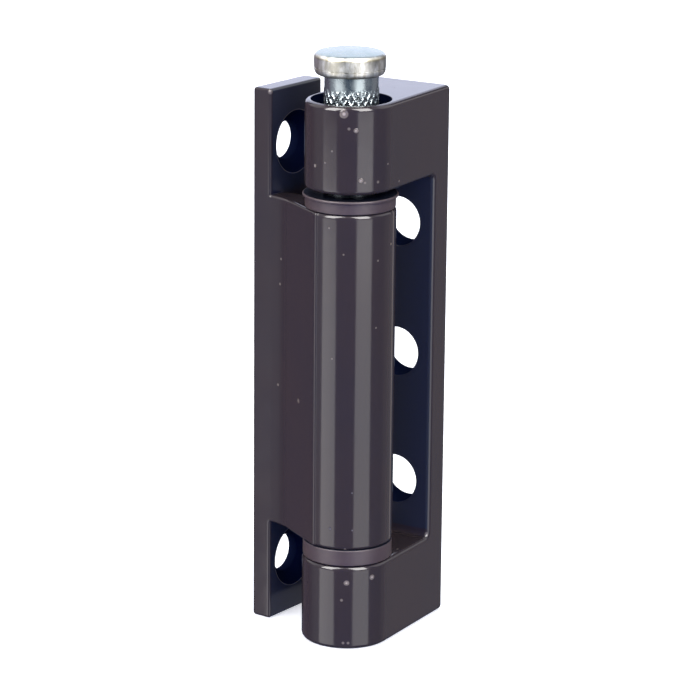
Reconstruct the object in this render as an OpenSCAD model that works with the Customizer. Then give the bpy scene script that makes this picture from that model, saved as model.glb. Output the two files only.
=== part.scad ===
// Two-leaf door hinge with a loose pin, standing upright.
// The modules are drawn with the pin axis on z and the leaf ends at z = 0.
// The frame leaf lies square to the axes, its back face toward +y.
// The sash leaf is drawn square to the axes and then swung about the pin by sash_angle.

/* [Leaves] */

// Height of both leaves
leaf_h = 100; // [70:1:150]
// Outer diameter of the two frame knuckles, also the width of the frame leaf
knuckle_d = 16.5; // [14:0.1:24]
// Outer diameter of the sash barrel
barrel_d = 16.4; // [14:0.1:24]
// Height of each frame knuckle
knuckle_h = 15.8; // [10:0.1:25]
// Diameter of the bore through the knuckles and the barrel
bore_d = 14.3; // [12:0.1:20]
// Distance from the pin axis to the back face of the frame leaf
frame_depth = 21.5; // [18:0.1:30]
// Thickness of the frame plate behind the gap
plate_t = 5.8; // [3:0.1:8]
// Radius of the upright back corners of the frame leaf
corner_r = 0.9; // [0.8:0.1:2.5]
// Radius of the outer edges at the two ends of the frame leaf
edge_r = 0.7; // [0.3:0.1:0.7]
// Radius of the outer edges at the two ends of the barrel
barrel_edge_r = 0.6; // [0.2:0.1:0.8]
// Radius of the two inner corners of the gap in the frame leaf
gap_r = 0.9; // [0.3:0.1:1.5]

/* [Sash leaf] */

// Angle of the sash leaf about the pin, 0 is square to the frame leaf
sash_angle = -6; // [-8:1:0]
// Distance from the pin axis to the outer face of the sash plate
sash_offset = 20.2; // [19:0.1:30]
// Thickness of the sash plate
sash_t = 4; // [3:0.1:6]
// Depth of the sash plate
sash_depth = 15.2; // [13:0.1:15.5]
// Distance from the pin axis forward to the front edge of the sash plate
sash_front = 2.25; // [1.5:0.05:4]
// Width of the hollow by which the web leaves the sash plate
web_step = 2.6; // [1.5:0.1:3]
// Height of the web's front edge above the barrel surface
web_lip = 0.35; // [0.2:0.05:0.6]
// Turn of the web's front edge round the barrel from its left side
web_turn = 78; // [70:1:85]
// Thickness of the web beside the sash plate
web_t = 4.2; // [3:0.1:5]

/* [Screw holes] */

// Diameter of the three holes in the frame plate
plate_hole_d = 9; // [5:0.1:10]
// Spacing of the three holes in the frame plate
plate_hole_pitch = 24.5; // [15:0.5:26]
// Sideways offset of the frame plate holes from the pin axis
plate_hole_x = 0.8; // [0:0.1:1.5]
// Height of the middle frame hole above the middle of the leaf
plate_hole_rise = 0.5; // [0:0.1:1.5]
// Diameter of the two holes in the sash plate
sash_hole_d = 7; // [4:0.1:8]
// Diameter of the countersink of the sash plate holes
sash_sink_d = 11.5; // [9:0.1:12]
// Distance of the sash plate holes from the leaf ends
sash_hole_end = 10.6; // [8:0.1:14]
// Distance of the sash plate holes from the front edge of the plate
sash_hole_in = 7.5; // [7:0.1:8]

/* [Bushes] */

// Diameter of the bush flanges
flange_d = 16.2; // [14:0.1:24]
// Thickness of the upper bush flange
upper_flange_t = 2.5; // [1.5:0.1:4]
// Thickness of the lower bush flange
lower_flange_t = 3; // [1.5:0.1:4]
// Diameter of the lip round the top of the upper flange
lip_d = 17.1; // [14:0.1:26]
// Thickness of that lip
lip_t = 0.5; // [0.3:0.1:1]
// Open gap between the upper flange and the upper knuckle
end_gap = 1; // [0.3:0.1:2]
// Length of the bush sleeves inside the barrel
sleeve_l = 14; // [8:0.5:25]
// Depth of the upper liner below the top of its knuckle
liner_drop = 4; // [3:0.1:5]
// Thickness of the closed floor of the lower liner
liner_floor = 2.4; // [1.5:0.1:4]

/* [Pin] */

// Diameter of the smooth pin shaft
pin_d = 9.6; // [7:0.1:10]
// Diameter over the knurled band of the pin
knurl_d = 9.8; // [7.2:0.1:10.2]
// Length of the knurled band
knurl_l = 9; // [5:0.5:10]
// Length of the smooth neck between head and knurl
neck_l = 2; // [1:0.1:2.5]
// Diameter of the pin head
head_d = 12.7; // [10.5:0.1:13.5]
// Height of the pin head
head_h = 4.5; // [3.5:0.1:5]
// Rise of the shallow dome on the head
head_dome = 0.75; // [0.3:0.05:0.9]
// Radius of the shoulder between the side of the head and the dome
head_shoulder = 0.9; // [0.5:0.1:1.2]
// Sideways offset of the cold-formed head from the shaft
head_shift = 0.3; // [0:0.05:0.35]
// Height of the standing pin head above its seat
pin_raise = 8.3; // [0:0.1:12]

/* [Hidden] */

knuckle_r = knuckle_d / 2;
barrel_r = barrel_d / 2;
run_gap = 0.1;
turn_fit = 0.06;
press_gap = 0.02;
cut = 1;
gap_z0 = knuckle_h;
gap_z1 = leaf_h - knuckle_h;
lower_flange_z = gap_z0 + run_gap;
barrel_z0 = lower_flange_z + lower_flange_t;
barrel_z1 = gap_z1 - end_gap - upper_flange_t;
barrel_h = barrel_z1 - barrel_z0;
plate_y = frame_depth - plate_t;
plate_in = sash_offset - sash_t;
head_seat = leaf_h - liner_drop;
pin_seat = head_seat + pin_raise;
tip_gap = 1;
pin_l = head_seat - liner_floor - tip_gap;
tip_c = 1.2;
plate_hole_z = leaf_h / 2 + plate_hole_rise;
head_c = 0.5;
head_turn = 30;
neck_c = 0.1;
sleeve_c = 0.4;
liner_gap = 0.3;
web_px = -(barrel_r + web_lip) * cos(web_turn);
web_py = -(barrel_r + web_lip) * sin(web_turn);
web_tilt = atan((-web_py - sash_front) / (plate_in - web_step + web_px));
web_r = web_step / tan(web_tilt / 2);
sink_h = (sash_sink_d - sash_hole_d) / 2;

coat = [0.27, 0.23, 0.26];
nylon = [0.33, 0.28, 0.31];
zinc = [0.72, 0.74, 0.76];
natural = [0.2, 0.18, 0.2];

// Rim profile of a block: full height at the middle, both outer edges rounded.
module rim_profile(w, h, r = edge_r) {
  intersection() {
    square([w, h]);
    union() {
      square([w - r, h]);
      translate([0, r])
        square([w, h - 2 * r]);
      translate([w - r, r])
        circle(r = r, $fn = 48);
      translate([w - r, h - r])
        circle(r = r, $fn = 48);
    }
  }
}

// Round front of the frame leaf, straight flanks, back corners rounded.
module frame_body() {
  side_y = frame_depth - corner_r;
  corner_x = knuckle_r - corner_r;
  rotate_extrude(angle = 180, start = 180, $fn = 144)
    rim_profile(knuckle_r, leaf_h);
  for (side = [0, 1])
    mirror([side, 0, 0]) {
      translate([0, side_y, 0])
        rotate([90, 0, 0])
          linear_extrude(height = side_y)
            rim_profile(knuckle_r, leaf_h);
      translate([corner_x, side_y, 0])
        rotate_extrude(angle = 90, $fn = 96)
          rim_profile(corner_r, leaf_h);
      translate([0, side_y, 0])
        rotate([90, 0, 90])
          linear_extrude(height = corner_x)
            rim_profile(corner_r, leaf_h);
    }
}

module frame_leaf() {
  color(coat)
    difference() {
      frame_body();
      translate([0, 0, -cut])
        cylinder(d = bore_d, h = leaf_h + 2 * cut, $fn = 144);
      translate([-knuckle_r - cut, -knuckle_r - cut, gap_z0])
        rotate([90, 0, 90])
          linear_extrude(height = knuckle_d + 2 * cut)
            rim_profile(knuckle_r + cut + plate_y, gap_z1 - gap_z0, gap_r);
      for (step = [-1, 0, 1])
        translate([plate_hole_x, frame_depth + cut, plate_hole_z + step * plate_hole_pitch])
          rotate([90, 0, 0])
            cylinder(d = plate_hole_d, h = plate_t + 2 * cut, $fn = 96);
    }
}

module barrel() {
  translate([0, 0, barrel_z0])
    rotate_extrude($fn = 144)
      rim_profile(barrel_r, barrel_h, barrel_edge_r);
}

// The front of the web leaves the plate in a hollow of radius web_r, then runs straight to its lip.
module web() {
  difference() {
    translate([0, 0, barrel_z0])
      linear_extrude(height = barrel_h)
        polygon([
          [-plate_in - sash_t / 2, -sash_front],
          [-plate_in, -sash_front],
          [web_step * (1 + cos(web_tilt)) - plate_in, -sash_front - web_step * sin(web_tilt)],
          [web_px, web_py],
          [0, 0],
          [-barrel_r / 2, web_t - sash_front],
          [-plate_in - sash_t / 2, web_t - sash_front]
        ]);
    translate([-plate_in, -sash_front - web_r, barrel_z0 - cut])
      cylinder(r = web_r, h = barrel_h + 2 * cut, $fn = 192);
  }
}

module sash_hole(z) {
  translate([-plate_in, sash_hole_in - sash_front, z])
    rotate([0, -90, 0]) {
      translate([0, 0, -cut])
        cylinder(d = sash_hole_d, h = sash_t + 2 * cut, $fn = 96);
      translate([0, 0, -cut])
        cylinder(d1 = sash_sink_d + 2 * cut, d2 = sash_hole_d, h = sink_h + cut, $fn = 96);
    }
}

module sash_leaf() {
  color(coat)
    rotate([0, 0, sash_angle])
      difference() {
        union() {
          translate([-sash_offset, -sash_front, 0])
            cube([sash_t, sash_depth, leaf_h]);
          web();
          barrel();
        }
        translate([0, 0, barrel_z0 - cut])
          cylinder(d = bore_d, h = barrel_h + 2 * cut, $fn = 144);
        sash_hole(sash_hole_end);
        sash_hole(leaf_h - sash_hole_end);
      }
}

// Pin shaft with its tip, knurled band and neck, running a little way up into the head.
module pin_shaft() {
  pin_r = pin_d / 2;
  band_r = knurl_d / 2;
  band_z1 = pin_l - neck_l;
  band_z0 = band_z1 - knurl_l;
  rotate_extrude($fn = 144)
    polygon([
      [0, 0],
      [pin_r - tip_c, 0],
      [pin_r, tip_c],
      [pin_r, band_z0 - neck_c],
      [band_r, band_z0],
      [band_r, band_z1],
      [pin_r, band_z1 + neck_c],
      [pin_r, pin_l + head_c],
      [0, pin_l + head_c]
    ]);
}

// Pin head: chamfered lower edge, straight side, round shoulder and shallow dome.
module pin_head() {
  head_r = head_d / 2;
  side_z = head_h - head_dome - head_shoulder;
  last = 75;
  dome_r = head_r - head_shoulder * (1 - cos(last));
  dome_z = side_z + head_shoulder * sin(last);
  rotate_extrude($fn = 144)
    polygon([
      [0, 0],
      [head_r - head_c, 0],
      [head_r - head_c / 5, head_c],
      [head_r, head_c * 2],
      [head_r, side_z],
      for (turn = [15:15:last])
        [head_r - head_shoulder * (1 - cos(turn)), side_z + head_shoulder * sin(turn)],
      for (part = [0.75, 0.5, 0.25, 0])
        [dome_r * part, dome_z + (head_h - dome_z) * (1 - part * part)]
    ]);
}

module hinge_pin() {
  color(zinc)
    translate([0, 0, pin_seat - pin_l]) {
      pin_shaft();
      translate([-head_shift * cos(head_turn), -head_shift * sin(head_turn), pin_l])
        pin_head();
    }
}

module upper_bush() {
  sleeve_r = bore_d / 2 - press_gap;
  hole_r = pin_d / 2 + turn_fit;
  color(nylon)
    translate([0, 0, barrel_z1])
      rotate_extrude($fn = 144)
        polygon([
          [hole_r, -sleeve_l],
          [sleeve_r - sleeve_c, -sleeve_l],
          [sleeve_r, -sleeve_l + sleeve_c],
          [sleeve_r, 0],
          [flange_d / 2, 0],
          [flange_d / 2, upper_flange_t - lip_t],
          [lip_d / 2, upper_flange_t - lip_t],
          [lip_d / 2, upper_flange_t],
          [hole_r, upper_flange_t]
        ]);
}

module lower_bush() {
  sleeve_r = bore_d / 2 - press_gap;
  hole_r = pin_d / 2 + turn_fit;
  color(nylon)
    translate([0, 0, barrel_z0])
      rotate_extrude($fn = 144)
        polygon([
          [hole_r, sleeve_l],
          [sleeve_r - sleeve_c, sleeve_l],
          [sleeve_r, sleeve_l - sleeve_c],
          [sleeve_r, 0],
          [flange_d / 2, 0],
          [flange_d / 2, -lower_flange_t],
          [hole_r, -lower_flange_t]
        ]);
}

module upper_liner() {
  hole_r = knurl_d / 2 + turn_fit;
  sleeve_r = bore_d / 2 - press_gap;
  liner_z0 = gap_z1 + liner_gap;
  color(natural)
    difference() {
      translate([0, 0, liner_z0])
        cylinder(r = sleeve_r, h = head_seat - liner_z0, $fn = 144);
      translate([0, 0, liner_z0 - cut])
        cylinder(r = hole_r, h = head_seat - liner_z0 + 2 * cut, $fn = 144);
    }
}

module lower_liner() {
  hole_r = pin_d / 2 + turn_fit;
  sleeve_r = bore_d / 2 - press_gap;
  liner_h = gap_z0 - liner_gap;
  color(natural)
    difference() {
      cylinder(r = sleeve_r, h = liner_h, $fn = 144);
      translate([0, 0, liner_floor])
        cylinder(r = hole_r, h = liner_h, $fn = 144);
    }
}

// Moves the whole hinge so that the middle frame hole on the back face is at the origin.
module place() {
  translate([-plate_hole_x, -frame_depth, -plate_hole_z])
    children();
}

place() frame_leaf();
place() sash_leaf();
place() hinge_pin();
place() upper_bush();
place() lower_bush();
place() upper_liner();
place() lower_liner();
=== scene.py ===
"""Looks of an upright door hinge with a raised loose pin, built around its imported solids.

Every piece is made here in metres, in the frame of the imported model, with the pin axis upright.
"""
import math
import random

import bmesh
import bpy
from mathutils import Matrix, Vector


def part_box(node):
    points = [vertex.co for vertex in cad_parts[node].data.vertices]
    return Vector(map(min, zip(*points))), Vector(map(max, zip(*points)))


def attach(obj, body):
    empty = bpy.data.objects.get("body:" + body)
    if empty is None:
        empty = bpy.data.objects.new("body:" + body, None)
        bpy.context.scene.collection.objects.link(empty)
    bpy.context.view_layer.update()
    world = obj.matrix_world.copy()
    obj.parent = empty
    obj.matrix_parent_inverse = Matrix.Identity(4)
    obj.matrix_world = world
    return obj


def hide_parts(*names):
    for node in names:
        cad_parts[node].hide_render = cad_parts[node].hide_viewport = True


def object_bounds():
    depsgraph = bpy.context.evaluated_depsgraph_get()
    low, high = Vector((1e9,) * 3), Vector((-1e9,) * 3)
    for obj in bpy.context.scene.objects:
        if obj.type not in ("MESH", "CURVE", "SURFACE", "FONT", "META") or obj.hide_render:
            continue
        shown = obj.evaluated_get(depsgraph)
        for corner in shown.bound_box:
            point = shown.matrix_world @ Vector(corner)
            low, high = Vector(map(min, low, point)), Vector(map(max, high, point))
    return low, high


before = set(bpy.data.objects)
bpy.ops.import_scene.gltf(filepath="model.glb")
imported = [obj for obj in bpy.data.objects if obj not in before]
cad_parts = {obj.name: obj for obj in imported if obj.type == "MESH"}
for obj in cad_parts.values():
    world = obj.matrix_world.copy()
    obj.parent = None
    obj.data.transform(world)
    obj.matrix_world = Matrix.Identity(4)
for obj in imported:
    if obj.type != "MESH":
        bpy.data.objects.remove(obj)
cad_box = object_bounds()

MM = 0.001

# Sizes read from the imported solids
leaf_low, leaf_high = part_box("frame_leaf")
pin_low, pin_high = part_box("hinge_pin")
flange_up_low, flange_up_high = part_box("upper_bush")
flange_down_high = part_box("lower_bush")[1]
liner_up_low, liner_up_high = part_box("upper_liner")
liner_down_low, liner_down_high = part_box("lower_liner")

KNUCKLE_R = (leaf_high.x - leaf_low.x) / 2
AXIS = Vector(((leaf_high.x + leaf_low.x) / 2, leaf_low.y + KNUCKLE_R, 0))
BACK_Y = leaf_high.y - AXIS.y
LEAF_Z0, LEAF_Z1 = leaf_low.z, leaf_high.z
PIN_Z0, PIN_Z1 = pin_low.z, pin_high.z
HEAD_R = (pin_high.x - pin_low.x) / 2
HEAD_PLACE = (pin_low + pin_high) / 2 - AXIS

# Frame leaf
KNUCKLE_H = 15.8 * MM
PLATE_T = 5.8 * MM
CORNER_R = 0.9 * MM
GAP_R = 0.9 * MM
BORE_R = 7.15 * MM
PLATE_HOLE_R = 4.5 * MM
PLATE_HOLE_X = 0.8 * MM
PLATE_HOLE_PITCH = 24.5 * MM
LEAF_EDGE = 0.88 * MM
BORE_EDGE = 0.17 * MM
PLATE_HOLE_EDGE = 0.3 * MM
LEAF_INNER_EDGE = 0.18 * MM

# Sash leaf, drawn square to the frame leaf and then swung by SASH_ANGLE
SASH_ANGLE = math.radians(-6)
SASH_OFFSET = 20.2 * MM
SASH_T = 4 * MM
SASH_DEPTH = 15.2 * MM
SASH_FRONT = 2.25 * MM
BARREL_R = 8.2 * MM
WEB_STEP = 2.6 * MM
WEB_LIP = 0.35 * MM
WEB_TURN = math.radians(81)
WEB_T = 4.2 * MM
SASH_HOLE_R = 3.5 * MM
SASH_SINK_R = 5.75 * MM
SASH_HOLE_END = 10.6 * MM
SASH_HOLE_IN = 7.5 * MM
SASH_HOLE_Z = (LEAF_Z0 + SASH_HOLE_END, LEAF_Z1 - SASH_HOLE_END)
BARREL_EDGE = 0.75 * MM
SASH_EDGE = 0.55 * MM
SINK_EDGE = 0.15 * MM
SASH_INNER_EDGE = 0.1 * MM

# Bushes and liners
RUN_GAP = 0.1 * MM
LOWER_FLANGE_T = 3 * MM
UPPER_FLANGE_T = 2.5 * MM
FLANGE_R = 8.1 * MM
LIP_T = 0.5 * MM
LIP_R = (flange_up_high.x - flange_up_low.x) / 2
SLEEVE_R = 7.13 * MM
BUSH_HOLE_R = 4.86 * MM
LINER_PLAY = 0.06 * MM
LINER_FLOOR = 2.4 * MM
SEAT_PLAY = 0.03 * MM
BARREL_Z0 = LEAF_Z0 + KNUCKLE_H + RUN_GAP + LOWER_FLANGE_T
BARREL_Z1 = flange_up_high.z - UPPER_FLANGE_T

# Pin
PIN_R = 4.8 * MM
KNURL_R = 4.9 * MM
KNURL_DEPTH = 0.16 * MM
KNURL_LENGTH = 9 * MM
KNURL_RIDGES = 24
KNURL_SLOPE = 0.6
NECK = 2 * MM
HEAD_H = 4.5 * MM
TIP_CHAMFER = 1.2 * MM
SHOULDER_R = 1.0 * MM
DOME_H = 0.4 * MM
GROOVE_DEPTH = 0.2 * MM

ROUND_STEPS = 144
SEED = 7


def new_object(name, mesh_data):
    obj = bpy.data.objects.new(name, mesh_data)
    bpy.context.scene.collection.objects.link(obj)
    return obj


def mesh_from(name, verts, faces):
    mesh_data = bpy.data.meshes.new(name)
    mesh_data.from_pydata([tuple(v) for v in verts], [], faces)
    mesh_data.validate()
    return mesh_data


def arc(centre_x, centre_y, radius, start, end, steps):
    """Points from angle start to angle end, both in radians and both included."""
    return [
        (
            centre_x + radius * math.cos(start + (end - start) * i / steps),
            centre_y + radius * math.sin(start + (end - start) * i / steps),
        )
        for i in range(steps + 1)
    ]


def prism(name, outline, low, high):
    """Closed solid on a flat outline that runs anticlockwise."""
    count = len(outline)
    verts = [(x, y, low) for x, y in outline] + [(x, y, high) for x, y in outline]
    faces = [list(range(count))[::-1], list(range(count, 2 * count))]
    for i in range(count):
        j = (i + 1) % count
        faces.append([i, j, count + j, count + i])
    return new_object(name, mesh_from(name, verts, faces))


def lathe(name, profile, steps=ROUND_STEPS):
    """Closed ring or solid turned about the z axis from a profile of (radius, height) points."""
    bm = bmesh.new()
    rings = []
    for radius, height in profile:
        if radius < 1e-7:
            rings.append([bm.verts.new((0, 0, height))])
            continue
        rings.append([
            bm.verts.new((
                radius * math.cos(2 * math.pi * i / steps),
                radius * math.sin(2 * math.pi * i / steps),
                height,
            ))
            for i in range(steps)
        ])
    closed = len(rings[0]) > 1 and len(rings[-1]) > 1
    pairs = list(zip(rings, rings[1:] + rings[:1])) if closed else list(zip(rings, rings[1:]))
    for low, high in pairs:
        for i in range(steps):
            j = (i + 1) % steps
            if len(low) == 1:
                bm.faces.new((low[0], high[j], high[i]))
            elif len(high) == 1:
                bm.faces.new((low[i], low[j], high[0]))
            else:
                bm.faces.new((low[i], low[j], high[j], high[i]))
    bmesh.ops.recalc_face_normals(bm, faces=bm.faces)
    mesh_data = bpy.data.meshes.new(name)
    bm.to_mesh(mesh_data)
    bm.free()
    return new_object(name, mesh_data)


def rounded(points, radii, steps=4):
    """Profile with each corner that has a radius replaced by an arc."""
    made = []
    count = len(points)
    for i, (point, radius) in enumerate(zip(points, radii)):
        here = Vector(point)
        if radius <= 0:
            made.append(tuple(here))
            continue
        to_last = (Vector(points[i - 1]) - here).normalized()
        to_next = (Vector(points[(i + 1) % count]) - here).normalized()
        half = to_last.angle(to_next) / 2
        run = radius / math.tan(half)
        centre = here + (to_last + to_next).normalized() * (radius / math.sin(half))
        first, last = here + to_last * run - centre, here + to_next * run - centre
        for k in range(steps + 1):
            part = first.lerp(last, k / steps)
            made.append(tuple(centre + part.normalized() * radius))
    return made


def cylinder_along(name, radius, start, end, steps=96, radius_end=None):
    """Plain cutter between two points."""
    start, end = Vector(start), Vector(end)
    radius_end = radius if radius_end is None else radius_end
    turn = (end - start).to_track_quat("Z", "Y").to_matrix()
    verts = []
    for centre, r in ((start, radius), (end, radius_end)):
        for i in range(steps):
            a = 2 * math.pi * i / steps
            verts.append(centre + turn @ Vector((r * math.cos(a), r * math.sin(a), 0)))
    faces = [list(range(steps))[::-1], list(range(steps, 2 * steps))]
    for i in range(steps):
        j = (i + 1) % steps
        faces.append([i, j, steps + j, steps + i])
    return new_object(name, mesh_from(name, verts, faces))


def bake(obj):
    """Turns the object's modifiers into its mesh."""
    graph = bpy.context.evaluated_depsgraph_get()
    graph.update()
    made = bpy.data.meshes.new_from_object(obj.evaluated_get(graph))
    old = obj.data
    obj.modifiers.clear()
    obj.data = made
    bpy.data.meshes.remove(old)


def carve(obj, cutters):
    """Takes each cutter out of the object and removes it."""
    for cutter in cutters:
        step = obj.modifiers.new("cut", "BOOLEAN")
        step.operation = "DIFFERENCE"
        step.solver = "EXACT"
        step.object = cutter
    bake(obj)
    for cutter in cutters:
        data = cutter.data
        bpy.data.objects.remove(cutter)
        bpy.data.meshes.remove(data)
    bm = bmesh.new()
    bm.from_mesh(obj.data)
    bmesh.ops.remove_doubles(bm, verts=bm.verts, dist=2e-6)
    bmesh.ops.dissolve_degenerate(bm, edges=bm.edges, dist=2e-6)
    bm.to_mesh(obj.data)
    bm.free()


def soften(obj, width, radius_at, segments=4, sharp_from=28):
    """Rounds the sharp edges by the radius that radius_at gives for a point and its convexity."""
    bm = bmesh.new()
    bm.from_mesh(obj.data)
    layer = bm.edges.layers.float.new("bevel_weight_edge")
    for edge in bm.edges:
        if len(edge.link_faces) != 2:
            continue
        if edge.calc_face_angle(0) > math.radians(sharp_from):
            middle = (edge.verts[0].co + edge.verts[1].co) / 2
            edge[layer] = min(1.0, radius_at(middle, edge.is_convex) / width)
    bm.to_mesh(obj.data)
    bm.free()
    step = obj.modifiers.new("edge", "BEVEL")
    step.limit_method = "WEIGHT"
    step.offset_type = "OFFSET"
    step.width = width
    step.segments = segments
    step.use_clamp_overlap = False
    step.miter_outer = "MITER_ARC"
    bake(obj)


def smooth(obj, sharp_from=40):
    """Smooth shading that keeps flat faces flat."""
    for face in obj.data.polygons:
        face.use_smooth = True
    obj.data.set_sharp_from_angle(angle=math.radians(sharp_from))
    step = obj.modifiers.new("normals", "WEIGHTED_NORMAL")
    step.mode = "FACE_AREA"
    step.weight = 60
    step.keep_sharp = True


def settle(obj, body, slot, material, *nodes):
    """Moves a piece from the pin axis to its place and hands it to its body."""
    obj.data.transform(Matrix.Translation(AXIS))
    obj.data.materials.clear()
    obj.data.materials.append(material)
    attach(obj, body)
    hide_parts(*nodes)


# Pieces, each drawn about the pin axis


def leaf_radius(point, convex):
    """Edge radius on the frame leaf: fine at the bores and screw holes, full on outer edges."""
    if math.hypot(point.x, point.y) < BORE_R + 0.1 * MM:
        return BORE_EDGE
    if not convex:
        return LEAF_INNER_EDGE
    for k in (-1, 0, 1):
        if math.hypot(point.x - PLATE_HOLE_X, point.z - k * PLATE_HOLE_PITCH) < PLATE_HOLE_R + 0.1 * MM:
            return PLATE_HOLE_EDGE
    return LEAF_EDGE


def sash_radius(point, convex):
    """Edge radius on the sash leaf before it is swung."""
    out = math.hypot(point.x, point.y)
    if out < BORE_R + 0.1 * MM:
        return BORE_EDGE
    if abs(out - BARREL_R) < 0.1 * MM and convex:
        return BARREL_EDGE
    for z in SASH_HOLE_Z:
        if math.hypot(point.y - SASH_HOLE_IN + SASH_FRONT, point.z - z) < SASH_SINK_R + 0.1 * MM:
            return SINK_EDGE
    return SASH_EDGE if convex else SASH_INNER_EDGE


def make_frame_leaf():
    """Round front, flat flanks and rounded back corners; gap, bore and three holes cut out."""
    side, back = KNUCKLE_R, BACK_Y
    outline = arc(0, 0, KNUCKLE_R, -math.pi, 0, 72)
    outline += arc(side - CORNER_R, back - CORNER_R, CORNER_R, 0, math.pi / 2, 8)
    outline += arc(-side + CORNER_R, back - CORNER_R, CORNER_R, math.pi / 2, math.pi, 8)
    leaf = prism("frame_leaf_body", outline, LEAF_Z0, LEAF_Z1)
    past = 1 * MM
    gap_back = BACK_Y - PLATE_T
    gap_low, gap_high = LEAF_Z0 + KNUCKLE_H, LEAF_Z1 - KNUCKLE_H
    section = [(-KNUCKLE_R - past, gap_low)]
    section += arc(gap_back - GAP_R, gap_low + GAP_R, GAP_R, -math.pi / 2, 0, 6)
    section += arc(gap_back - GAP_R, gap_high - GAP_R, GAP_R, 0, math.pi / 2, 6)
    section += [(-KNUCKLE_R - past, gap_high)]
    gap = prism("gap_cutter", section, -side - past, side + past)
    gap.data.transform(Matrix(((0, 0, 1, 0), (1, 0, 0, 0), (0, 1, 0, 0), (0, 0, 0, 1))))
    bore = cylinder_along("bore_cutter", BORE_R, (0, 0, LEAF_Z0 - past), (0, 0, LEAF_Z1 + past), 120)
    holes = [
        cylinder_along(
            "hole_cutter",
            PLATE_HOLE_R,
            (PLATE_HOLE_X, gap_back - past, k * PLATE_HOLE_PITCH),
            (PLATE_HOLE_X, back + past, k * PLATE_HOLE_PITCH),
            72,
        )
        for k in (-1, 0, 1)
    ]
    carve(leaf, [gap, bore, *holes])
    soften(leaf, LEAF_EDGE, leaf_radius)
    smooth(leaf, 32)
    return leaf


def sash_outlines():
    """Outline of the plate with web and barrel, and the plate's own share of it."""
    plate_in = SASH_OFFSET - SASH_T
    lip_x = -(BARREL_R + WEB_LIP) * math.cos(WEB_TURN)
    lip_y = -(BARREL_R + WEB_LIP) * math.sin(WEB_TURN)
    tilt = math.atan((-lip_y - SASH_FRONT) / (plate_in - WEB_STEP + lip_x))
    hollow_r = WEB_STEP / math.tan(tilt / 2)
    front = -SASH_FRONT
    depth_y = SASH_DEPTH - SASH_FRONT
    rear_y = WEB_T - SASH_FRONT
    rear_angle = math.pi - math.asin(rear_y / BARREL_R)
    lip_angle = WEB_TURN - math.pi + math.radians(0.4)
    hollow = arc(-plate_in, front - hollow_r, hollow_r, math.pi / 2, math.pi / 2 - tilt, 8)
    barrel = arc(0, 0, BARREL_R, lip_angle, rear_angle, 96)
    web = hollow + [(lip_x, lip_y)] + barrel + [(-plate_in, rear_y)]
    ends = [(-plate_in, depth_y), (-SASH_OFFSET, depth_y), (-SASH_OFFSET, front)]
    return web, ends


def make_sash_leaf():
    """Edge plate over the full height; web and barrel between the bushes."""
    web, ends = sash_outlines()
    ring = web + ends
    count = len(ring)
    levels = [LEAF_Z0, BARREL_Z0, BARREL_Z1, LEAF_Z1]
    plate = [0, len(web) - 1, len(web), len(web) + 1, len(web) + 2]
    bm = bmesh.new()
    rows = []
    for level, height in enumerate(levels):
        inner = level in (1, 2)
        rows.append({
            i: bm.verts.new((ring[i][0], ring[i][1], height))
            for i in (range(count) if inner else plate)
        })
    for low, high in ((0, 1), (2, 3)):
        for a, b in zip(plate, plate[1:] + plate[:1]):
            bm.faces.new((rows[low][a], rows[low][b], rows[high][b], rows[high][a]))
    for i in range(count):
        j = (i + 1) % count
        bm.faces.new((rows[1][i], rows[1][j], rows[2][j], rows[2][i]))
    bm.faces.new([rows[0][i] for i in reversed(plate)])
    bm.faces.new([rows[3][i] for i in plate])
    bm.faces.new([rows[1][i] for i in reversed(range(len(web)))])
    bm.faces.new([rows[2][i] for i in range(len(web))])
    bmesh.ops.recalc_face_normals(bm, faces=bm.faces)
    mesh_data = bpy.data.meshes.new("sash_leaf_body")
    bm.to_mesh(mesh_data)
    bm.free()
    leaf = new_object("sash_leaf_body", mesh_data)
    past = 1 * MM
    plate_in = SASH_OFFSET - SASH_T
    cutters = [
        cylinder_along("bore_cutter", BORE_R, (0, 0, BARREL_Z0 - past), (0, 0, BARREL_Z1 + past), 120)
    ]
    sink = SASH_SINK_R - SASH_HOLE_R
    for z in SASH_HOLE_Z:
        y = SASH_HOLE_IN - SASH_FRONT
        cutters.append(cylinder_along(
            "hole_cutter", SASH_HOLE_R, (-SASH_OFFSET - past, y, z), (-plate_in + past, y, z), 72
        ))
        cutters.append(cylinder_along(
            "sink_cutter", SASH_SINK_R + past, (-plate_in + past, y, z), (-plate_in - sink, y, z), 72,
            SASH_HOLE_R,
        ))
    carve(leaf, cutters)
    soften(leaf, BARREL_EDGE, sash_radius)
    leaf.data.transform(Matrix.Rotation(SASH_ANGLE, 4, "Z"))
    smooth(leaf)
    return leaf


def make_upper_bush():
    """Sleeve in the barrel, flange on it and a lip round the flange's top."""
    top = UPPER_FLANGE_T
    sleeve = flange_up_low.z - BARREL_Z1
    points = [
        (BUSH_HOLE_R, sleeve), (SLEEVE_R, sleeve), (SLEEVE_R, 0), (FLANGE_R, 0),
        (FLANGE_R, top - LIP_T), (LIP_R, top - LIP_T), (LIP_R, top), (BUSH_HOLE_R, top),
    ]
    radii = [0.2 * MM, 0.4 * MM, 0, 0.25 * MM, 0.15 * MM, 0.16 * MM, 0.2 * MM, 0.25 * MM]
    bush = lathe("upper_bush_body", [(r, z + BARREL_Z1) for r, z in rounded(points, radii)])
    smooth(bush, 50)
    return bush


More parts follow.
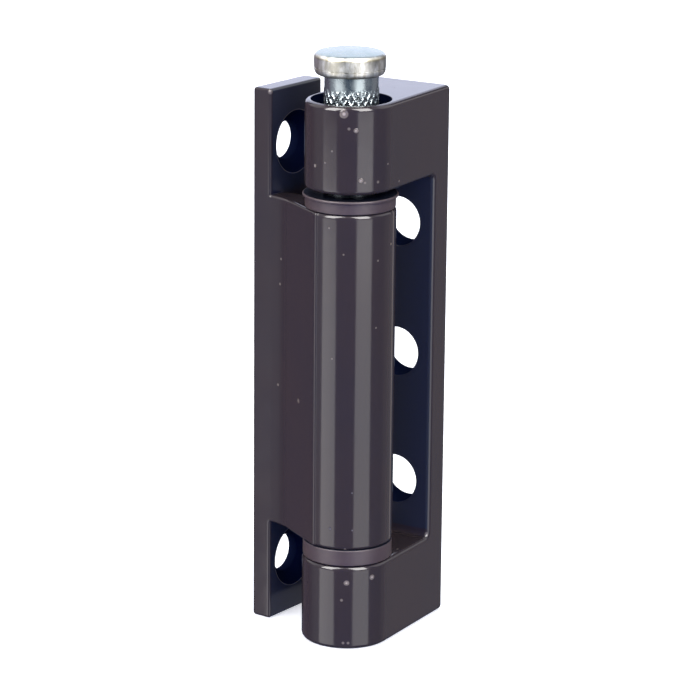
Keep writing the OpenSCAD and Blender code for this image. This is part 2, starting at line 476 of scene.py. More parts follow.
def make_lower_bush():
    """Sleeve in the barrel with a plain flange under it."""
    sleeve = flange_down_high.z - BARREL_Z0
    points = [
        (BUSH_HOLE_R, sleeve), (SLEEVE_R, sleeve), (SLEEVE_R, 0), (FLANGE_R, 0),
        (FLANGE_R, -LOWER_FLANGE_T), (BUSH_HOLE_R, -LOWER_FLANGE_T),
    ]
    radii = [0.2 * MM, 0.4 * MM, 0, 0.3 * MM, 0.2 * MM, 0.2 * MM]
    bush = lathe("lower_bush_body", [(r, z + BARREL_Z0) for r, z in rounded(points, radii)])
    smooth(bush, 50)
    return bush


def make_upper_liner():
    """Open sleeve in the upper knuckle that the pin's head seats on."""
    hole = KNURL_R + LINER_PLAY
    low, high = liner_up_low.z, liner_up_high.z - SEAT_PLAY
    points = [(hole, low), (SLEEVE_R, low), (SLEEVE_R, high), (hole, high)]
    liner = lathe("upper_liner_body", rounded(points, [0.2 * MM, 0.2 * MM, 0.3 * MM, 0.5 * MM]))
    smooth(liner, 50)
    return liner


def make_lower_liner():
    """Sleeve in the lower knuckle with a closed floor."""
    low, high = liner_down_low.z, liner_down_high.z
    floor_top = low + LINER_FLOOR
    points = [
        (0, low), (SLEEVE_R, low), (SLEEVE_R, high), (BUSH_HOLE_R, high),
        (BUSH_HOLE_R, floor_top), (0, floor_top),
    ]
    radii = [0, 0.3 * MM, 0.2 * MM, 0.4 * MM, 0.2 * MM, 0]
    liner = lathe("lower_liner_body", rounded(points, radii))
    smooth(liner, 50)
    return liner


def knurl_height(turn, run):
    """Height between 0 and 1 of two crossing sets of rounded ridges, a little uneven."""
    step = run / MM
    wander = 0.5 * math.sin(5 * turn + 1.3 + 0.8 * step) + 0.3 * math.sin(13 * turn - 2.1 * step)
    sway = 0.45 * math.sin(7 * turn + 0.4 - 1.1 * step) + 0.3 * math.sin(11 * turn + 2.6 * step)
    spin = KNURL_RIDGES * turn
    lean = run * KNURL_SLOPE / KNURL_R * KNURL_RIDGES
    first = 0.5 + 0.5 * math.cos(spin + lean + wander)
    second = 0.5 + 0.5 * math.cos(spin - lean + sway)
    grain = 0.16 * math.sin(31 * turn + 9 * step) * math.sin(47 * turn - 7 * step)
    return min(1.0, max(0.0, max(first ** 5, 0.9 * second ** 5) * 0.9 + 0.1 + grain))


def head_profile(base):
    """Underside, slanted lower edge, turned groove, side, rounded shoulder and shallow dome."""
    low = [
        (PIN_R + 0.5 * MM, base),
        (HEAD_R - 0.95 * MM, base),
        (HEAD_R - 0.42 * MM, base + 0.22 * MM),
        (HEAD_R - 0.14 * MM, base + 0.6 * MM),
        (HEAD_R - 0.03 * MM, base + 1.05 * MM),
        (HEAD_R - 0.01 * MM, base + 1.24 * MM),
        (HEAD_R - GROOVE_DEPTH, base + 1.29 * MM),
        (HEAD_R - GROOVE_DEPTH, base + 1.38 * MM),
        (HEAD_R, base + 1.44 * MM),
    ]
    shoulder_z = base + HEAD_H - DOME_H - SHOULDER_R
    shoulder = [
        (HEAD_R - SHOULDER_R + x, shoulder_z + z)
        for x, z in arc(0, 0, SHOULDER_R, 0, math.radians(74), 10)
    ]
    edge_r, edge_z = shoulder[-1]
    rise = base + HEAD_H - edge_z
    dome = [(edge_r * (1 - k / 8), edge_z + rise * (1 - (1 - k / 8) ** 2)) for k in range(1, 9)]
    return low + shoulder + dome


def make_pin():
    """Tip, shaft, knurled band, neck and domed head, with the knurl as real ridges."""
    length = PIN_Z1 - PIN_Z0 - HEAD_H
    band_high = length - NECK
    band_low = band_high - KNURL_LENGTH
    rows = 90
    fade = 0.5 * MM
    shaft = [(0, 0), (PIN_R - TIP_CHAMFER, 0), (PIN_R, TIP_CHAMFER), (PIN_R, band_low - 0.1 * MM)]
    shaft = rounded(shaft, [0, 0.3 * MM, 0.4 * MM, 0], 3)
    band = [(KNURL_R, band_low + KNURL_LENGTH * k / rows) for k in range(rows + 1)]
    head = head_profile(length)
    profile = shaft + band + [(PIN_R, band_high + 0.1 * MM), (PIN_R, length - 0.1 * MM)] + head
    steps = KNURL_RIDGES * 14
    pin = lathe("hinge_pin_body", [(r, z + PIN_Z0) for r, z in profile], steps)
    noise = random.Random(SEED)
    starts = [noise.uniform(0.0, 0.5) * MM for _ in range(KNURL_RIDGES)]
    for vert in pin.data.vertices:
        z = vert.co.z - PIN_Z0
        radius = math.hypot(vert.co.x, vert.co.y)
        if not (band_low - 1e-6 <= z <= band_high + 1e-6) or abs(radius - KNURL_R) > 1e-5:
            continue
        turn = math.atan2(vert.co.y, vert.co.x)
        ridge = int((turn / (2 * math.pi) % 1) * KNURL_RIDGES) % KNURL_RIDGES
        near = min(z - band_low, band_high - starts[ridge] * 0.6 - z)
        share = max(0.0, min(1.0, near / fade))
        height = knurl_height(turn, z) * share + 0.35 * (1 - share)
        new_radius = KNURL_R - KNURL_DEPTH * (1 - height)
        vert.co.x *= new_radius / radius
        vert.co.y *= new_radius / radius
    for vert in pin.data.vertices:
        if vert.co.z > PIN_Z1 - HEAD_H - 1e-6:
            vert.co.x += HEAD_PLACE.x
            vert.co.y += HEAD_PLACE.y
    smooth(pin, 50)
    return pin


# Materials


def material(name):
    made = bpy.data.materials.new(name)
    made.use_nodes = True
    tree = made.node_tree
    return made, tree, tree.nodes["Principled BSDF"]


def node(tree, kind, **settings):
    made = tree.nodes.new(kind)
    for key, value in settings.items():
        if key in made.inputs:
            made.inputs[key].default_value = value
        else:
            setattr(made, key, value)
    return made


def noise_at(tree, coords, scale, detail=3.0, rough=0.55):
    made = node(tree, "ShaderNodeTexNoise", Scale=scale, Detail=detail, Roughness=rough)
    tree.links.new(coords, made.inputs["Vector"])
    return made.outputs["Fac"]


def ramp(tree, value, low, high, first, last):
    """Maps value from low..high to first..last, clamped."""
    made = node(tree, "ShaderNodeMapRange")
    made.clamp = True
    for key, number in (("From Min", low), ("From Max", high), ("To Min", first), ("To Max", last)):
        made.inputs[key].default_value = number
    tree.links.new(value, made.inputs["Value"])
    return made.outputs["Result"]


def blend_colour(tree, share, first, second):
    """Mixes two colours, each a tuple or a socket, by a socket."""
    made = tree.nodes.new("ShaderNodeMix")
    made.data_type = "RGBA"
    tree.links.new(share, made.inputs["Factor"])
    for key, value in (("A", first), ("B", second)):
        socket = [s for s in made.inputs if s.name == key and s.type == "RGBA"][0]
        if isinstance(value, tuple):
            socket.default_value = (*value, 1.0)
        else:
            tree.links.new(value, socket)
    return [s for s in made.outputs if s.type == "RGBA"][0]


def calculate(tree, operation, first, second=None):
    made = tree.nodes.new("ShaderNodeMath")
    made.operation = operation
    for socket, value in zip(made.inputs, (first, second)):
        if value is None:
            continue
        if isinstance(value, (int, float)):
            socket.default_value = value
        else:
            tree.links.new(value, socket)
    return made.outputs[0]


def bump(tree, height, distance, strength=1.0, normal=None):
    made = node(tree, "ShaderNodeBump", Strength=strength, Distance=distance)
    tree.links.new(height, made.inputs["Height"])
    if normal is not None:
        tree.links.new(normal, made.inputs["Normal"])
    return made.outputs["Normal"]


def object_coords(tree):
    return tree.nodes.new("ShaderNodeTexCoord").outputs["Object"]


def specks(tree, coords, scale, size, chance):
    """Small scattered dots: 1 inside a dot, 0 outside."""
    cells = node(tree, "ShaderNodeTexVoronoi", Scale=scale, Randomness=1.0)
    tree.links.new(coords, cells.inputs["Vector"])
    dot = ramp(tree, cells.outputs["Distance"], size * 0.55, size, 1.0, 0.0)
    split = tree.nodes.new("ShaderNodeSeparateColor")
    tree.links.new(cells.outputs["Color"], split.inputs["Color"])
    kept = calculate(tree, "LESS_THAN", split.outputs["Red"], chance)
    return calculate(tree, "MULTIPLY", dot, kept), split.outputs["Green"]


COAT = (0.038, 0.0285, 0.030)
COAT_WARM = (0.0435, 0.0305, 0.0295)
COAT_DUST = (0.25, 0.23, 0.25)
# Pale bare spots, also used for the painted highlights; the bluish painted shade of the recesses; and the
# dark painted shade on the dull walls of holes and bore
COAT_CHIP_AND_HIGHLIGHT = (0.52, 0.42, 0.31)
RECESS_SHADE_TINT = (0.033, 0.034, 0.042)
HOLE_SHADE_COLOUR = (0.006, 0.009, 0.026)

# Small raised marks in the coating: place and radius in millimetres about the pin axis
BLISTERS = (
    (3.04, -7.67, 48.3, 0.80), (4.89, -6.64, 45.4, 0.42), (-2.68, -7.80, 38.5, 0.30),
    (5.63, -6.03, 36.5, 0.45), (4.12, -7.15, -37.7, 0.50), (7.40, -3.64, -37.0, 0.50),
)
SPECKS = (
    (3.85, -7.29, 45.7, 0.34), (0.99, -8.19, 41.6, 0.24), (-0.38, -8.24, 39.4, 0.24),
    (6.14, -5.51, 36.1, 0.30), (7.53, -3.37, 36.0, 0.32), (8.18, -1.07, 38.9, 0.22),
    (8.25, 2.80, 35.1, 0.25), (-13.67, -1.19, 18.9, 0.30), (-13.92, -1.09, 14.2, 0.32),
    (-7.76, -4.77, -5.9, 0.55), (-14.36, -0.95, -4.8, 0.32), (-16.50, -0.37, 49.0, 0.55),
    (7.81, 15.73, -34.2, 0.42), (6.83, 6.61, -34.7, 0.30),
    (3.34, -7.54, -41.0, 0.34), (3.65, -7.39, -49.2, 0.32), (4.44, -6.95, -49.2, 0.32),
    (7.58, -3.13, 21.8, 0.24), (3.14, -7.57, 23.2, 0.22), (8.19, 0.35, 24.2, 0.30),
    (0.50, -8.18, 27.8, 0.24), (1.27, -8.10, 4.1, 0.22),
    (7.47, -3.37, 9.6, 0.22),
    (3.72, -7.10, -31.3, 0.30),
)


def distance_to(tree, coords, x, y, z):
    """Distance from a point given in millimetres about the pin axis."""
    place = AXIS + Vector((x, y, z)) * MM
    made = node(tree, "ShaderNodeVectorMath", operation="DISTANCE")
    tree.links.new(coords, made.inputs[0])
    made.inputs[1].default_value = place
    return made.outputs["Value"]


def coating_marks(tree, coords):
    """Two masks: the pale specks, and the rims of the round blisters with their pale middles."""
    spots, rings = None, None
    for x, y, z, radius in SPECKS:
        near = ramp(tree, distance_to(tree, coords, x, y, z), radius * 0.4 * MM, radius * MM, 0.34, 0)
        spots = near if spots is None else calculate(tree, "MAXIMUM", spots, near)
    for x, y, z, radius in BLISTERS:
        away = calculate(tree, "SUBTRACT", distance_to(tree, coords, x, y, z), radius * 0.7 * MM)
        away = calculate(tree, "ABSOLUTE", away)
        ring = ramp(tree, away, 0.08 * MM, 0.36 * radius * MM, 1, 0)
        rings = ring if rings is None else calculate(tree, "MAXIMUM", rings, ring)
        near = ramp(tree, distance_to(tree, coords, x, y, z), 0.2 * radius * MM, 0.65 * radius * MM, 0.9, 0)
        spots = calculate(tree, "MAXIMUM", spots, near)
    return spots, rings


def in_hole(tree, coords, centre, direction, radius, reach):
    """Mask of 1 inside a round hole, 0 outside."""
    offset = node(tree, "ShaderNodeVectorMath", operation="SUBTRACT")
    tree.links.new(coords, offset.inputs[0])
    offset.inputs[1].default_value = centre
    aside = node(tree, "ShaderNodeVectorMath", operation="CROSS_PRODUCT")
    along = node(tree, "ShaderNodeVectorMath", operation="DOT_PRODUCT")
    length = node(tree, "ShaderNodeVectorMath", operation="LENGTH")
    for step in (aside, along):
        tree.links.new(offset.outputs["Vector"], step.inputs[0])
        step.inputs[1].default_value = direction
    tree.links.new(aside.outputs["Vector"], length.inputs[0])
    beside = ramp(tree, length.outputs["Value"], radius - 0.05 * MM, radius + 0.05 * MM, 1, 0)
    depth = calculate(tree, "ABSOLUTE", along.outputs["Value"])
    within = calculate(tree, "LESS_THAN", depth, reach)
    return calculate(tree, "MULTIPLY", beside, within)


def hole_shade_and_dull_mask(tree, coords):
    """Mask of the inner walls of the screw holes and the bore, which get a dark painted shade and a dull
    finish.
    """
    total = None
    holes = []
    for k in (-1, 0, 1):
        centre = AXIS + Vector((PLATE_HOLE_X, BACK_Y - PLATE_T / 2, k * PLATE_HOLE_PITCH))
        holes.append((centre, Vector((0, 1, 0)), PLATE_HOLE_R + 0.12 * MM, PLATE_T / 2 + 0.1 * MM))
    turn = Matrix.Rotation(SASH_ANGLE, 3, "Z")
    for z in SASH_HOLE_Z:
        middle = Vector((-SASH_OFFSET + SASH_T / 2, SASH_HOLE_IN - SASH_FRONT, z))
        holes.append((AXIS + turn @ middle, turn @ Vector((1, 0, 0)), SASH_SINK_R, SASH_T / 2 - 0.02 * MM))
    holes.append((AXIS, Vector((0, 0, 1)), BORE_R + 0.06 * MM, 60 * MM))
    for centre, direction, radius, reach in holes:
        mask = in_hole(tree, coords, centre, direction, radius, reach)
        total = mask if total is None else calculate(tree, "MAXIMUM", total, mask)
    return total


def between(tree, value, low, high):
    """1 where a value lies between two limits, with soft ends of 0.3 mm, else 0."""
    above = ramp(tree, value, low - 0.15 * MM, low + 0.15 * MM, 0, 1)
    below = ramp(tree, value, high - 0.15 * MM, high + 0.15 * MM, 1, 0)
    return calculate(tree, "MULTIPLY", above, below)


def recess_shade_mask(tree, coords):
    """Mask of the plate behind the barrel and of the notches' floors, which get a bluish painted shade."""
    away = node(tree, "ShaderNodeVectorMath", operation="SUBTRACT")
    tree.links.new(coords, away.inputs[0])
    away.inputs[1].default_value = AXIS
    place = tree.nodes.new("ShaderNodeSeparateXYZ")
    tree.links.new(away.outputs["Vector"], place.inputs[0])
    height = calculate(tree, "ABSOLUTE", place.outputs["Z"])
    middle = between(tree, height, -MM, LEAF_Z1 - KNUCKLE_H - 0.4 * MM)
    deep = between(tree, place.outputs["Y"], BACK_Y - PLATE_T - 0.6 * MM, BACK_Y - 0.3 * MM)
    inside = ramp(tree, place.outputs["X"], KNUCKLE_R - 0.4 * MM, KNUCKLE_R - 0.1 * MM, 1, 0)
    plate = calculate(tree, "MULTIPLY", calculate(tree, "MULTIPLY", middle, deep), inside)
    turned = node(tree, "ShaderNodeVectorRotate", rotation_type="Z_AXIS", Angle=-SASH_ANGLE)
    tree.links.new(away.outputs["Vector"], turned.inputs["Vector"])
    own = tree.nodes.new("ShaderNodeSeparateXYZ")
    tree.links.new(turned.outputs["Vector"], own.inputs[0])
    face = SASH_T - SASH_OFFSET
    floor = between(tree, own.outputs["X"], face - 0.3 * MM, face + 0.3 * MM)
    behind = ramp(tree, own.outputs["Y"], 0.3 * MM - SASH_FRONT, 0.8 * MM - SASH_FRONT, 0, 1)
    ends = ramp(tree, height, LEAF_Z1 - 20 * MM, LEAF_Z1 - 18.5 * MM, 0, 1)
    notch = calculate(tree, "MULTIPLY", calculate(tree, "MULTIPLY", floor, behind), ends)
    return calculate(tree, "MAXIMUM", plate, notch)


def painted_barrel_highlight(tree, coords):
    """Mask of a painted highlight: a fine pale line down the barrel, placed 69 degrees round from the
    camera's side, where a reflection runs.
    """
    turn = CAMERA_AZIMUTH + math.radians(69)
    place = AXIS + Vector((math.sin(turn), -math.cos(turn), 0)) * BARREL_R
    level = node(tree, "ShaderNodeMapping")
    level.inputs["Scale"].default_value = (1.0, 1.0, 0.0)
    tree.links.new(coords, level.inputs["Vector"])
    made = node(tree, "ShaderNodeVectorMath", operation="DISTANCE")
    tree.links.new(level.outputs["Vector"], made.inputs[0])
    made.inputs[1].default_value = (place.x, place.y, 0)
    line = ramp(tree, made.outputs["Value"], 0.12 * MM, 0.42 * MM, 0.22, 0.0)
    height = tree.nodes.new("ShaderNodeSeparateXYZ")
    tree.links.new(coords, height.inputs[0])
    away = calculate(tree, "ABSOLUTE", height.outputs["Z"])
    middle = calculate(tree, "LESS_THAN", away, LEAF_Z1 - KNUCKLE_H)
    return calculate(tree, "MULTIPLY", line, middle)


def sink_rim_highlight(tree, coords):
    """Mask of a painted highlight on the rims of the two countersinks."""
    turn = Matrix.Rotation(SASH_ANGLE, 3, "Z")
    direction = turn @ Vector((1, 0, 0))
    total = None
    for z in SASH_HOLE_Z:
        centre = AXIS + turn @ Vector((-SASH_OFFSET + SASH_T, SASH_HOLE_IN - SASH_FRONT, z))
        wide = in_hole(tree, coords, centre, direction, SASH_SINK_R + 0.12 * MM, 0.2 * MM)
        narrow = in_hole(tree, coords, centre, direction, SASH_SINK_R - 0.12 * MM, 0.3 * MM)
        rim = calculate(tree, "MULTIPLY", calculate(tree, "SUBTRACT", wide, narrow), 0.3)
        total = rim if total is None else calculate(tree, "MAXIMUM", total, rim)
    return total


def coated_metal():
    """Gloss dark brown coating with orange peel, dust and blisters; painted highlights on a line down the
    barrel and on the countersink rims; a bluish painted shade in the recesses; and a dark painted shade on
    the dull walls of the holes and bore.
    """
    made, tree, shader = material("gloss_brown_coating")
    coords = object_coords(tree)
    patch = ramp(tree, noise_at(tree, coords, 45.0, 4.0), 0.35, 0.65, 0.0, 1.0)
    colour = blend_colour(tree, patch, COAT, COAT_WARM)
    # Painted shade: a bluish tint on the plate behind the barrel and on the notch floors.
    colour = blend_colour(tree, recess_shade_mask(tree, coords), colour, RECESS_SHADE_TINT)
    dots, shade = specks(tree, coords, 260.0, 0.075, 0.16)
    dust = calculate(tree, "MULTIPLY", dots, ramp(tree, shade, 0.0, 1.0, 0.1, 0.6))
    colour = blend_colour(tree, dust, colour, COAT_DUST)
    spots, rings = coating_marks(tree, coords)
    paleness = calculate(tree, "MAXIMUM", spots, calculate(tree, "MULTIPLY", rings, 0.36))
    # Painted highlight: the pale line down the barrel.
    paleness = calculate(tree, "MAXIMUM", paleness, painted_barrel_highlight(tree, coords))
    # Painted highlight: pale rims on the two countersinks.
    paleness = calculate(tree, "MAXIMUM", paleness, sink_rim_highlight(tree, coords))
    # Real pale specks and blisters and the painted highlights all take this pale colour.
    colour = blend_colour(tree, paleness, colour, COAT_CHIP_AND_HIGHLIGHT)
    holes = hole_shade_and_dull_mask(tree, coords)
    # Painted shade: near-black navy on the walls of the screw holes, the countersinks and the bore.
    colour = blend_colour(tree, holes, colour, HOLE_SHADE_COLOUR)
    tree.links.new(colour, shader.inputs["Base Color"])
    film = noise_at(tree, coords, 300.0, 2.0)
    shader.inputs["IOR"].default_value = 1.5
    rough = ramp(tree, film, 0.3, 0.7, 0.10, 0.16)
    rough = calculate(tree, "ADD", rough, calculate(tree, "MULTIPLY", dots, 0.3))
    rough = calculate(tree, "ADD", rough, calculate(tree, "MULTIPLY", spots, 0.3))
    rough = calculate(tree, "ADD", rough, calculate(tree, "MULTIPLY", holes, 0.5))
    tree.links.new(rough, shader.inputs["Roughness"])
    tree.links.new(ramp(tree, holes, 0.0, 1.0, 0.5, 0.0), shader.inputs["Specular IOR Level"])
    peel = noise_at(tree, coords, 900.0, 2.0)
    normal = bump(tree, peel, 0.00001, 0.35)
    wave = noise_at(tree, coords, 160.0, 1.0)
    normal = bump(tree, wave, 0.00003, 0.35, normal)
    drawn = node(tree, "ShaderNodeMapping")
    drawn.inputs["Scale"].default_value = (1.0, 1.0, 0.012)
    tree.links.new(coords, drawn.inputs["Vector"])
    normal = bump(tree, noise_at(tree, drawn.outputs["Vector"], 1400.0, 3.0), 0.00001, 0.5, normal)
    raised = calculate(tree, "MAXIMUM", dots, calculate(tree, "MAXIMUM", rings, spots))
    normal = bump(tree, raised, 0.00004, 0.8, normal)
    tree.links.new(normal, shader.inputs["Normal"])
    return made


def brown_nylon():
    """Satin brown plastic with fine moulding grain, with a dark painted shade inside the joint and on the
    top under the knuckle.
    """
    made, tree, shader = material("satin_brown_nylon")
    coords = object_coords(tree)
    patch = ramp(tree, noise_at(tree, coords, 220.0, 4.0), 0.3, 0.7, 0.0, 1.0)
    colour = blend_colour(tree, patch, (0.068, 0.044, 0.045), (0.083, 0.055, 0.054))
    out = tree.nodes.new("ShaderNodeMapping")
    out.inputs["Scale"].default_value = (1.0, 1.0, 0.0)
    tree.links.new(coords, out.inputs["Vector"])
    away = node(tree, "ShaderNodeVectorMath", operation="DISTANCE")
    tree.links.new(out.outputs["Vector"], away.inputs[0])
    away.inputs[1].default_value = (AXIS.x, AXIS.y, 0)
    inner = ramp(tree, away.outputs["Value"], FLANGE_R - 0.1 * MM, FLANGE_R - 0.05 * MM, 1.0, 0.0)
    facing = tree.nodes.new("ShaderNodeSeparateXYZ")
    tree.links.new(tree.nodes.new("ShaderNodeNewGeometry").outputs["Normal"], facing.inputs[0])
    top = calculate(tree, "GREATER_THAN", facing.outputs["Z"], 0.8)
    near = ramp(tree, away.outputs["Value"], LIP_R - 0.3 * MM, LIP_R - 0.2 * MM, 1.0, 0.0)
    painted_joint_shade = calculate(tree, "MAXIMUM", inner, calculate(tree, "MULTIPLY", top, near))
    # Painted shade: near-black navy, with little gloss, inside the flange's rim and on the top of the upper
    # bush.
    colour = blend_colour(tree, painted_joint_shade, colour, (0.008, 0.01, 0.018))
    tree.links.new(colour, shader.inputs["Base Color"])
    tree.links.new(ramp(tree, painted_joint_shade, 0.0, 1.0, 0.5, 0.05), shader.inputs["Specular IOR Level"])
    grain = noise_at(tree, coords, 2500.0, 3.0)
    tree.links.new(ramp(tree, grain, 0.3, 0.7, 0.36, 0.5), shader.inputs["Roughness"])
    tree.links.new(bump(tree, grain, 0.00001, 0.4), shader.inputs["Normal"])
    return made


def dark_nylon():
    """Dark plastic of the hidden liners."""
    made, tree, shader = material("dark_liner_nylon")
    coords = object_coords(tree)
    patch = ramp(tree, noise_at(tree, coords, 300.0, 3.0), 0.3, 0.7, 0.0, 1.0)
    colour = blend_colour(tree, patch, (0.012, 0.012, 0.016), (0.02, 0.019, 0.024))
    tree.links.new(colour, shader.inputs["Base Color"])
    grain = noise_at(tree, coords, 1800.0, 3.0)
    tree.links.new(ramp(tree, grain, 0.3, 0.7, 0.4, 0.6), shader.inputs["Roughness"])
    tree.links.new(bump(tree, grain, 0.00001, 0.4), shader.inputs["Normal"])
    return made


COOL_ZINC = (0.43, 0.49, 0.51)
TOP_COOL = (0.335, 0.405, 0.375)
TOP_PALE = (0.39, 0.435, 0.39)
FILM_DARK = (0.44, 0.425, 0.37)
FILM_PALE = (0.90, 0.90, 0.90)
# Painted sheen: a golden ring round the head's shoulder.
SHOULDER_SHEEN_GOLD = (0.34, 0.28, 0.13)
# Painted shade: the shaft below the knurled band is darkened
SHAFT_SHADE = (0.10, 0.115, 0.13)


def zinc_steel():
    """Zinc plating: cool grey, with a yellowish patchy film and upright marks on the head's side, a painted
    golden sheen round the shoulder and a painted shade on the shaft below the knurl.
    """
    made, tree, shader = material("zinc_plated_steel")
    coords = object_coords(tree)
    stretch = node(tree, "ShaderNodeMapping")
    stretch.inputs["Scale"].default_value = (1.0, 1.0, 0.35)
    tree.links.new(coords, stretch.inputs["Vector"])
    patch = ramp(tree, noise_at(tree, stretch.outputs["Vector"], 620.0, 6.0, 0.7), 0.4, 0.62, 0.0, 1.0)
    film = blend_colour(tree, patch, FILM_DARK, FILM_PALE)
    height = tree.nodes.new("ShaderNodeSeparateXYZ")
    tree.links.new(coords, height.inputs[0])
    above = ramp(tree, height.outputs["Z"], PIN_Z1 - HEAD_H, PIN_Z1 - HEAD_H + 0.3 * MM, 0.0, 1.0)
    top = ramp(tree, height.outputs["Z"], PIN_Z1 - 0.75 * MM, PIN_Z1 - 0.4 * MM, 0.0, 1.0)
    share = calculate(tree, "MULTIPLY", above, calculate(tree, "SUBTRACT", 1.0, top))
    colour = blend_colour(tree, share, COOL_ZINC, film)
    # Painted sheen: a golden ring, at half strength, round the head's shoulder.
    shoulder_sheen = between(tree, height.outputs["Z"], PIN_Z1 - 1.35 * MM, PIN_Z1 - 0.95 * MM)
    colour = blend_colour(tree, calculate(tree, "MULTIPLY", shoulder_sheen, 0.5), colour, SHOULDER_SHEEN_GOLD)
    mottled = blend_colour(tree, patch, TOP_COOL, TOP_PALE)
    colour = blend_colour(tree, top, colour, mottled)
    knurl_end = PIN_Z1 - HEAD_H - NECK - KNURL_LENGTH
    below = ramp(tree, height.outputs["Z"], knurl_end - 1.5 * MM, knurl_end, 1.0, 0.0)
    # Painted shade on the shaft below the knurled band.
    colour = blend_colour(tree, below, colour, SHAFT_SHADE)
    tree.links.new(colour, shader.inputs["Base Color"])
    shader.inputs["Metallic"].default_value = 1.0
    marks = noise_at(tree, stretch.outputs["Vector"], 1500.0, 4.0, 0.6)
    rough = ramp(tree, noise_at(tree, coords, 700.0, 4.0), 0.3, 0.7, 0.22, 0.34)
    rough = calculate(tree, "ADD", rough, calculate(tree, "MULTIPLY", share, 0.1))
    tree.links.new(rough, shader.inputs["Roughness"])
    normal = bump(tree, calculate(tree, "MULTIPLY", marks, share), 0.00006, 0.5)
    normal = bump(tree, noise_at(tree, coords, 1200.0, 3.0), 0.00002, 0.3, normal)
    tree.links.new(normal, shader.inputs["Normal"])
    return made


# Camera, lights and floor

CAMERA_PLACE = Vector((0.28309, -0.50591, 0.15813))
CAMERA_AHEAD = Vector((-0.48724, 0.83200, -0.26527))
CAMERA_ROLL = math.radians(0.546)
CAMERA_LENS = 166.89
CAMERA_AZIMUTH = math.radians(30.36)


def make_camera():
    data = bpy.data.cameras.new("photo_camera")
    data.lens = CAMERA_LENS
    data.sensor_width = 36.0
    data.clip_start, data.clip_end = 0.01, 20.0
    camera = bpy.data.objects.new("photo_camera", data)
    bpy.context.scene.collection.objects.link(camera)
    ahead = CAMERA_AHEAD.normalized()
    right = ahead.cross(Vector((0, 0, 1))).normalized()
    up = right.cross(ahead)
    turned_right = right * math.cos(CAMERA_ROLL) + up * math.sin(CAMERA_ROLL)
    turned_up = up * math.cos(CAMERA_ROLL) - right * math.sin(CAMERA_ROLL)
    axes = Matrix((turned_right, turned_up, -ahead)).transposed()
    camera.matrix_world = Matrix.Translation(CAMERA_PLACE) @ axes.to_4x4()
    bpy.context.scene.camera = camera


def panel(name, turns, lifts, reach, radiance, colour, gloss_only=False, hidden=False):
    """Soft light panel that faces the hinge, between two angles round from the camera's side
    and two angles of height, all in degrees."""
    turn, lift = sum(turns) / 2, sum(lifts) / 2
    width = 2 * reach * math.tan(math.radians(abs(turns[1] - turns[0]) / 2))
    width *= math.cos(math.radians(lift))
    height = 2 * reach * math.tan(math.radians(abs(lifts[1] - lifts[0]) / 2))
    data = bpy.data.lights.new(name, "AREA")
    data.shape = "RECTANGLE"
    data.size, data.size_y = width, height
    data.energy = radiance * math.pi * width * height
    data.color = colour
    light = bpy.data.objects.new(name, data)
    bpy.context.scene.collection.objects.link(light)
    a, e = CAMERA_AZIMUTH + math.radians(turn), math.radians(lift)
    away = Vector((math.sin(a) * math.cos(e), -math.cos(a) * math.cos(e), math.sin(e)))
    light.location = AXIS + away * reach
    light.rotation_mode = "QUATERNION"
    light.rotation_quaternion = (-away).to_track_quat("-Z", "Y")
    light.visible_camera = False
    light.visible_diffuse = not gloss_only
    light.visible_glossy = not hidden


LEFT_TURNS = (-73.5, -33)
RIGHT_TURNS = (15, 57)
HIGH_LIFTS = (13, 72)
LOW_TOPS = {"left": (-7.4, -9.6), "right": (-4.6, -6.8)}
LOW_BOTTOM = -42
WARM = (1.0, 0.98, 0.96)
PALE_BLUE = (0.774, 0.807, 1.0)
SHADOW_BLUE = (0.02, 0.16, 1.0)


def make_lights():
    """Two tall softboxes with their dimmer images in the table, side and top panels, lit backdrop."""
    for name, turns, low_level in (("left", LEFT_TURNS, 2.2), ("right", RIGHT_TURNS, 2.0)):
        panel(name + "_softbox", turns, HIGH_LIFTS, 1.0, 3.6, WARM)
        panel(name + "_softbox_gloss", turns, HIGH_LIFTS, 1.01, 10.5, WARM, gloss_only=True)
        for top in LOW_TOPS[name]:
            panel(name + "_table_image", turns, (LOW_BOTTOM, top), 0.6, low_level / 2, WARM)
    panel("left_side", (-135, -85), (15, 55), 1.2, 1.2, WARM)
    panel("right_side", (80, 130), (15, 55), 1.2, 1.2, WARM)
    panel("back_panel", (150, 210), (2, 62), 1.1, 1.72, PALE_BLUE)
    panel("blue_fill", (-25, 25), (-8, 20), 0.9, 4.4, SHADOW_BLUE, hidden=True)
    panel("right_upper_image", RIGHT_TURNS, (-12.5, -4.6), 0.6, 0.7, WARM)


WHITE = 1.0
FILL = (0.08, 0.11, 0.165)
GLOWS = (
    ("far_left_wall", -128, -10, 40, 12, (0.06, 0.0, 0.0)),
    ("left_wall", -75, -6, 36, 8, (0.36, 0.33, 0.33)),
    ("right_near", 72, -10, 24, 6, (0.09, 0.07, 0.06)),
    ("right_wall", 118, -8, 32, 8, (0.22, 0.18, 0.16)),
)


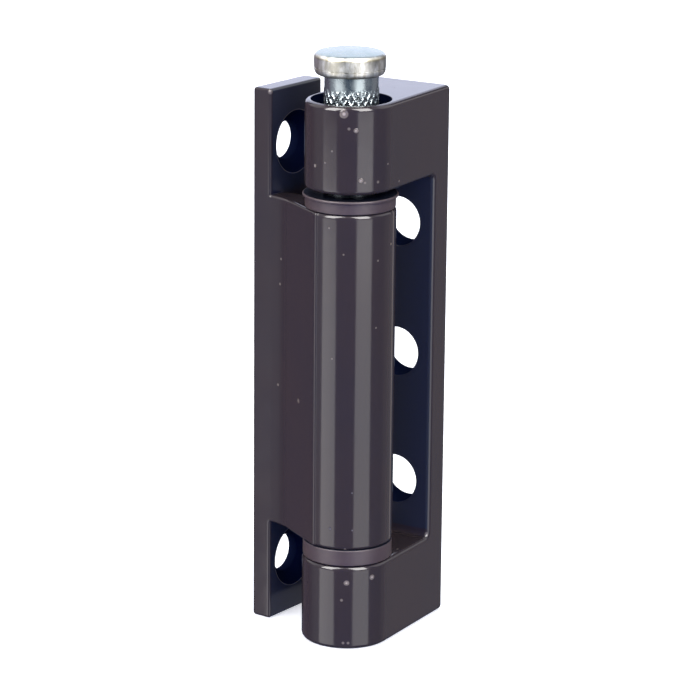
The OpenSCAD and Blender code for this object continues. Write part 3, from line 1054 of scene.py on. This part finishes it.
def make_world():
    """White to the camera; to the hinge a dim blue studio with two softly lit walls."""
    world = bpy.data.worlds.new("studio")
    bpy.context.scene.world = world
    world.use_nodes = True
    tree = world.node_tree
    tree.nodes.clear()
    seen = node(tree, "ShaderNodeBackground", Strength=WHITE)
    seen.inputs["Color"].default_value = (1, 1, 1, 1)
    ahead = tree.nodes.new("ShaderNodeTexCoord").outputs["Generated"]
    light = None
    for name, turn, lift, wide, narrow, colour in GLOWS:
        a, e = CAMERA_AZIMUTH + math.radians(turn), math.radians(lift)
        middle = (math.sin(a) * math.cos(e), -math.cos(a) * math.cos(e), math.sin(e))
        near = tree.nodes.new("ShaderNodeVectorMath")
        near.operation = "DOT_PRODUCT"
        near.name = name
        near.inputs[1].default_value = middle
        tree.links.new(ahead, near.inputs[0])
        share = node(tree, "ShaderNodeMapRange", interpolation_type="SMOOTHSTEP")
        share.inputs["From Min"].default_value = math.cos(math.radians(wide))
        share.inputs["From Max"].default_value = math.cos(math.radians(narrow))
        tree.links.new(near.outputs["Value"], share.inputs["Value"])
        start = FILL if light is None else light
        total = tuple(f + c for f, c in zip(FILL, colour))
        light = blend_colour(tree, share.outputs["Result"], start, total)
    fill = node(tree, "ShaderNodeBackground", Strength=1.0)
    tree.links.new(light, fill.inputs["Color"])
    path = tree.nodes.new("ShaderNodeLightPath")
    mix = tree.nodes.new("ShaderNodeMixShader")
    out = tree.nodes.new("ShaderNodeOutputWorld")
    tree.links.new(path.outputs["Is Camera Ray"], mix.inputs[0])
    tree.links.new(fill.outputs[0], mix.inputs[1])
    tree.links.new(seen.outputs[0], mix.inputs[2])
    tree.links.new(mix.outputs[0], out.inputs["Surface"])


def make_floor():
    """Pale floor that shows white with a faint shadow under the hinge."""
    half = 2.5
    z = cad_box[0].z
    corners = [(-half, -half, z), (half, -half, z), (half, half, z), (-half, half, z)]
    floor = new_object("floor", mesh_from("floor", corners, [[0, 1, 2, 3]]))
    made, tree, shader = material("pale_floor")
    coords = object_coords(tree)
    cloud = ramp(tree, noise_at(tree, coords, 6.0, 3.0), 0.3, 0.7, 0.86, 0.9)
    paint = tree.nodes.new("ShaderNodeCombineColor")
    for key in ("Red", "Green", "Blue"):
        tree.links.new(cloud, paint.inputs[key])
    tree.links.new(paint.outputs["Color"], shader.inputs["Base Color"])
    shader.inputs["Roughness"].default_value = 0.9
    glow = tree.nodes.new("ShaderNodeEmission")
    glow.inputs["Color"].default_value = (1, 1, 1, 1)
    away = node(tree, "ShaderNodeVectorMath", operation="LENGTH")
    tree.links.new(coords, away.inputs[0])
    tree.links.new(ramp(tree, away.outputs["Value"], 0.2, 0.7, 0.55, 1.0), glow.inputs["Strength"])
    add = tree.nodes.new("ShaderNodeAddShader")
    out = tree.nodes["Material Output"]
    tree.links.new(shader.outputs["BSDF"], add.inputs[0])
    tree.links.new(glow.outputs[0], add.inputs[1])
    tree.links.new(add.outputs[0], out.inputs["Surface"])
    floor.data.materials.append(made)
    floor.visible_diffuse = False
    floor.visible_glossy = False
    floor.visible_transmission = False
    floor.visible_shadow = False


def build():
    coat, nylon, liner, zinc = coated_metal(), brown_nylon(), dark_nylon(), zinc_steel()
    settle(make_frame_leaf(), "frame", "coated_metal", coat, "frame_leaf")
    settle(make_sash_leaf(), "sash", "coated_metal", coat, "sash_leaf")
    settle(make_upper_bush(), "sash", "brown_nylon", nylon, "upper_bush")
    settle(make_lower_bush(), "sash", "brown_nylon", nylon, "lower_bush")
    settle(make_upper_liner(), "frame", "dark_nylon", liner, "upper_liner")
    settle(make_lower_liner(), "frame", "dark_nylon", liner, "lower_liner")
    settle(make_pin(), "pin", "zinc_steel", zinc, "hinge_pin")


build()
make_camera()
make_lights()
make_world()
make_floor()
bpy.context.scene.view_settings.view_transform = "Standard"
